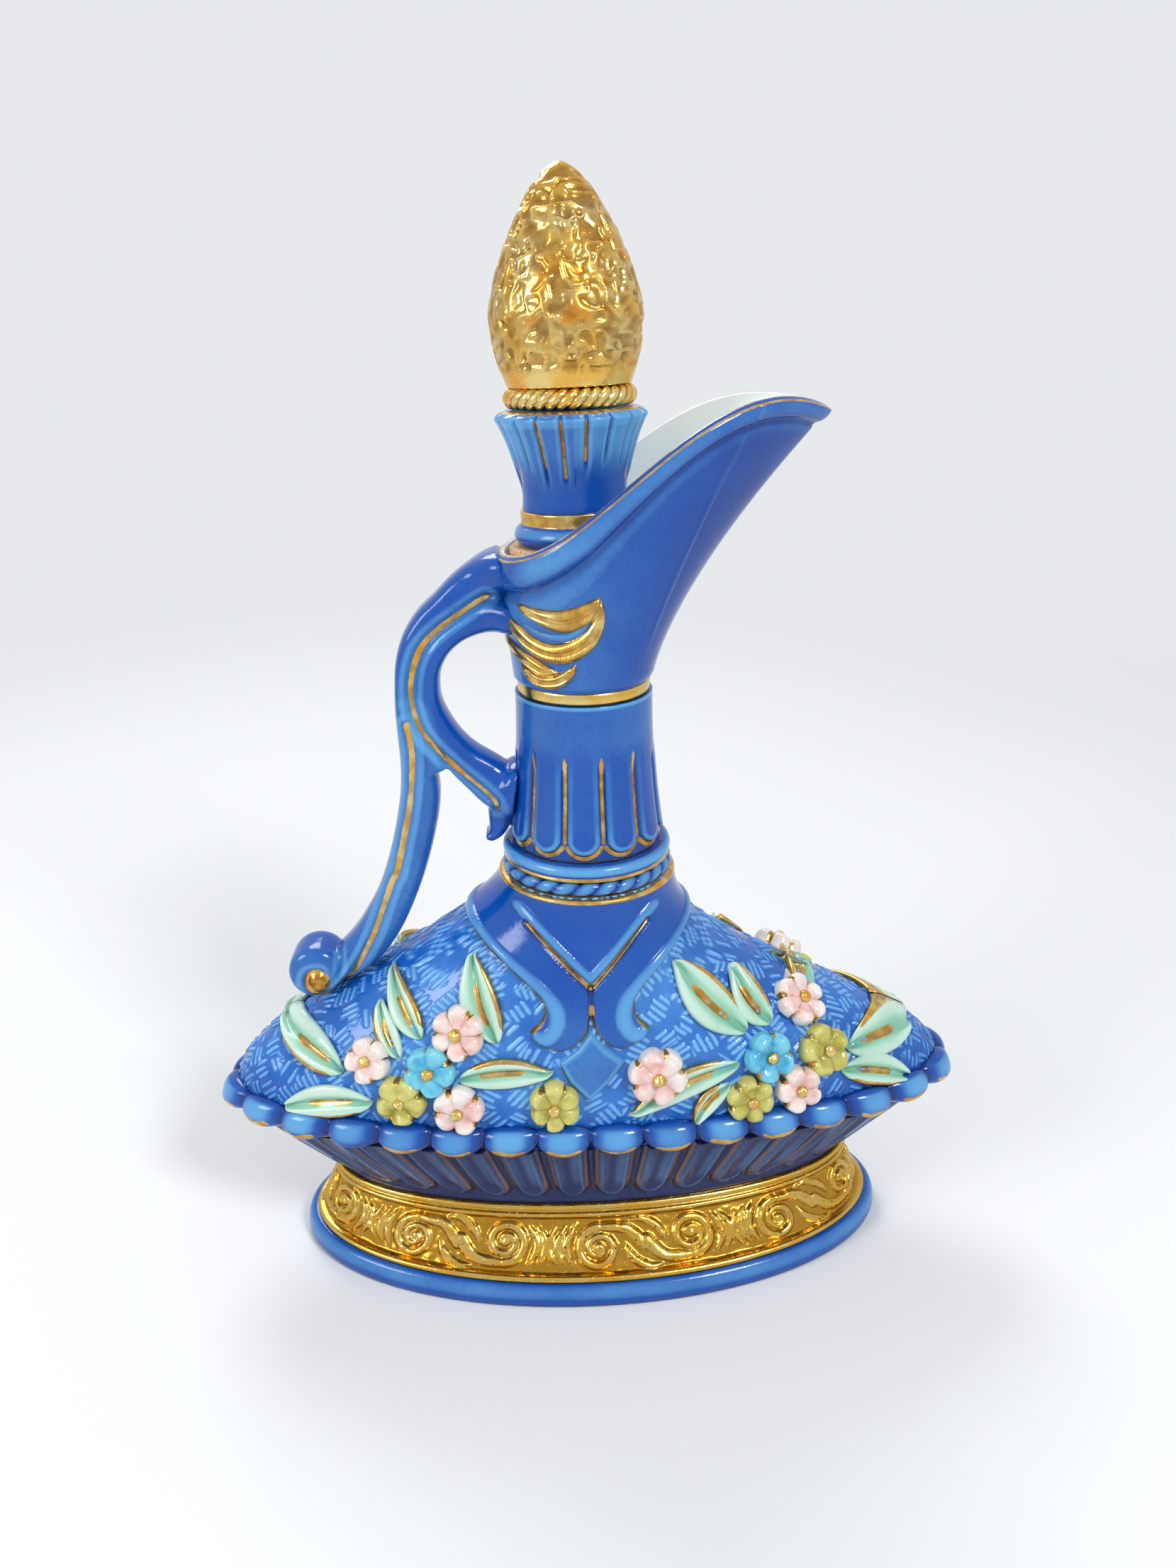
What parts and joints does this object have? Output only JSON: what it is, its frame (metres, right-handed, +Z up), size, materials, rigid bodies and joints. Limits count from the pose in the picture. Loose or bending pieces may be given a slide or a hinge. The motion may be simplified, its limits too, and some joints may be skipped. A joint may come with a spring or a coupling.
{
  "type": "ceramic decanter with stopper",
  "caption": "Flattened, footed ceramic decanter with a fluted neck, swept pouring spout, scrolled handle, applied flowers and a corked egg stopper.",
  "frame": {"origin": "centre of the foot on the table", "axes": "+Z up along the neck, +X towards the pouring spout, front of the bottle towards -Y"},
  "size_m": [0.2518, 0.1, 0.34],
  "materials": {
    "cobalt_glaze": "gloss",
    "sky_glaze": "gloss",
    "navy_glaze": "gloss",
    "mint_glaze": "gloss",
    "pink_glaze": "gloss",
    "yellow_glaze": "gloss",
    "turquoise_glaze": "gloss",
    "gold_lustre": "bright gold lustre over glaze",
    "bisque": "unglazed",
    "cork": "matte"
  },
  "bodies": {
    "bottle": {"foot_rim": "sky_glaze", "foot_band": "gold_lustre", "lower_bowl": "navy_glaze", "ruffled_rim": "cobalt_glaze", "shoulder_shell": "sky_glaze", "mantle": "cobalt_glaze", "mantle_straps": "cobalt_glaze", "pendants": "navy_glaze", "rope_ring": "sky_glaze", "neck_roll": "cobalt_glaze", "fluted_neck": "cobalt_glaze", "neck_band": "gold_lustre", "spout_head": "cobalt_glaze", "handle_outer_limb": "cobalt_glaze", "handle_inner_limb": "cobalt_glaze", "handle_spur": "cobalt_glaze", "handle_scroll": "cobalt_glaze", "head_acanthus": "gold_lustre", "leaves_front": "mint_glaze", "leaves_back": "mint_glaze", "pink_flowers": "pink_glaze", "yellow_flowers": "yellow_glaze", "turquoise_flowers": "turquoise_glaze", "flower_beads": "gold_lustre"},
    "stopper": {"cork": "cork", "stopper_tang": "bisque", "stopper_foot_ring": "cobalt_glaze", "stopper_collar": "sky_glaze", "stopper_rope_ring": "gold_lustre", "egg_finial": "gold_lustre"}
  },
  "joints": [
    {"name": "stopper_lift", "type": "slide", "parent": "bottle", "child": "stopper", "axis": [-0.0279, 0, 0.9996], "range_m": [0, 0.088]}
  ]
}
